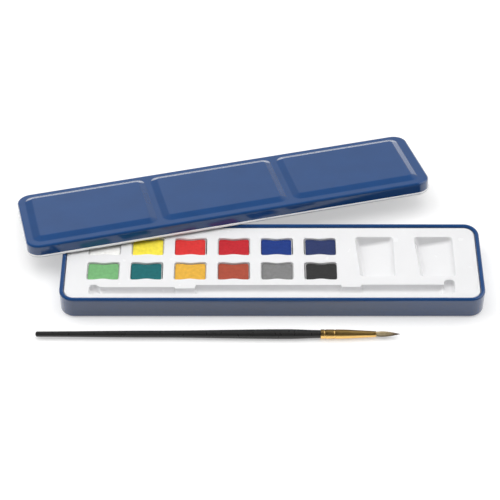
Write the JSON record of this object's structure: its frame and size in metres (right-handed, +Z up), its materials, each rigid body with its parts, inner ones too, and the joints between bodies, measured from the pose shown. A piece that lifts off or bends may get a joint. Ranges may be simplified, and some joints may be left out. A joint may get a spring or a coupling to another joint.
{
  "type": "watercolour paint box",
  "caption": "Slim navy watercolour tin with its lift-off lid askew, a white tray of half pans, mixing wells and brush groove, and a round brush.",
  "frame": {"origin": "middle of the base tin's underside, on the table", "axes": "+X along the tin to its right end, -Y towards the front where the brush lies, +Z up"},
  "size_m": [0.2819, 0.1662, 0.0236],
  "materials": {
    "base_paint": "gloss navy paint",
    "lid_paint": "gloss navy paint, white lacquer inside",
    "tray_plastic": "gloss white",
    "handle_lacquer": "satin black lacquer",
    "ferrule_metal": "polished",
    "brush_hair": "soft hair",
    "paint_white": "pressed white paint",
    "paint_yellow": "pressed yellow paint",
    "paint_vermilion": "pressed vermilion paint",
    "paint_crimson": "pressed crimson paint",
    "paint_ultramarine": "pressed ultramarine paint",
    "paint_indigo": "pressed indigo paint",
    "paint_light_green": "pressed light green paint",
    "paint_viridian": "pressed viridian paint",
    "paint_ochre": "pressed yellow ochre paint",
    "paint_sienna": "pressed burnt sienna paint",
    "paint_grey": "pressed grey paint",
    "paint_black": "pressed black paint",
    "pan_plastic": "thin white plastic"
  },
  "bodies": {
    "tin": {"base_tin": "base_paint", "colour_tray": "tray_plastic"},
    "lid": {"lid_tin": "lid_paint"},
    "brush": {"brush_handle": "handle_lacquer", "brush_ferrule": "ferrule_metal", "brush_tuft": "brush_hair"},
    "pan_white": {"half_pan_white": "pan_plastic", "cake_white": "paint_white"},
    "pan_yellow": {"half_pan_yellow": "pan_plastic", "cake_yellow": "paint_yellow"},
    "pan_vermilion": {"half_pan_vermilion": "pan_plastic", "cake_vermilion": "paint_vermilion"},
    "pan_crimson": {"half_pan_crimson": "pan_plastic", "cake_crimson": "paint_crimson"},
    "pan_ultramarine": {"half_pan_ultramarine": "pan_plastic", "cake_ultramarine": "paint_ultramarine"},
    "pan_indigo": {"half_pan_indigo": "pan_plastic", "cake_indigo": "paint_indigo"},
    "pan_light_green": {"half_pan_light_green": "pan_plastic", "cake_light_green": "paint_light_green"},
    "pan_viridian": {"half_pan_viridian": "pan_plastic", "cake_viridian": "paint_viridian"},
    "pan_ochre": {"half_pan_ochre": "pan_plastic", "cake_ochre": "paint_ochre"},
    "pan_sienna": {"half_pan_sienna": "pan_plastic", "cake_sienna": "paint_sienna"},
    "pan_grey": {"half_pan_grey": "pan_plastic", "cake_grey": "paint_grey"},
    "pan_black": {"half_pan_black": "pan_plastic", "cake_black": "paint_black"}
  },
  "joints": [
    {"name": "lid_lift", "type": "slide", "parent": "tin", "child": "lid", "axis": [0, 0, 1], "range_m": [0, 0.06]},
    {"name": "brush_lift", "type": "slide", "parent": "tin", "child": "brush", "axis": [0, 0, 1], "range_m": [0, 0.04]},
    {"name": "pan_white_lift", "type": "slide", "parent": "tin", "child": "pan_white", "axis": [0, 0, 1], "range_m": [0, 0.002]},
    {"name": "pan_yellow_lift", "type": "slide", "parent": "tin", "child": "pan_yellow", "axis": [0, 0, 1], "range_m": [0, 0.002]},
    {"name": "pan_vermilion_lift", "type": "slide", "parent": "tin", "child": "pan_vermilion", "axis": [0, 0, 1], "range_m": [0, 0.0135]},
    {"name": "pan_crimson_lift", "type": "slide", "parent": "tin", "child": "pan_crimson", "axis": [0, 0, 1], "range_m": [0, 0.0135]},
    {"name": "pan_ultramarine_lift", "type": "slide", "parent": "tin", "child": "pan_ultramarine", "axis": [0, 0, 1], "range_m": [0, 0.0135]},
    {"name": "pan_indigo_lift", "type": "slide", "parent": "tin", "child": "pan_indigo", "axis": [0, 0, 1], "range_m": [0, 0.0135]},
    {"name": "pan_light_green_lift", "type": "slide", "parent": "tin", "child": "pan_light_green", "axis": [0, 0, 1], "range_m": [0, 0.0135]},
    {"name": "pan_viridian_lift", "type": "slide", "parent": "tin", "child": "pan_viridian", "axis": [0, 0, 1], "range_m": [0, 0.0135]},
    {"name": "pan_ochre_lift", "type": "slide", "parent": "tin", "child": "pan_ochre", "axis": [0, 0, 1], "range_m": [0, 0.0135]},
    {"name": "pan_sienna_lift", "type": "slide", "parent": "tin", "child": "pan_sienna", "axis": [0, 0, 1], "range_m": [0, 0.0135]},
    {"name": "pan_grey_lift", "type": "slide", "parent": "tin", "child": "pan_grey", "axis": [0, 0, 1], "range_m": [0, 0.0135]},
    {"name": "pan_black_lift", "type": "slide", "parent": "tin", "child": "pan_black", "axis": [0, 0, 1], "range_m": [0, 0.0135]}
  ]
}
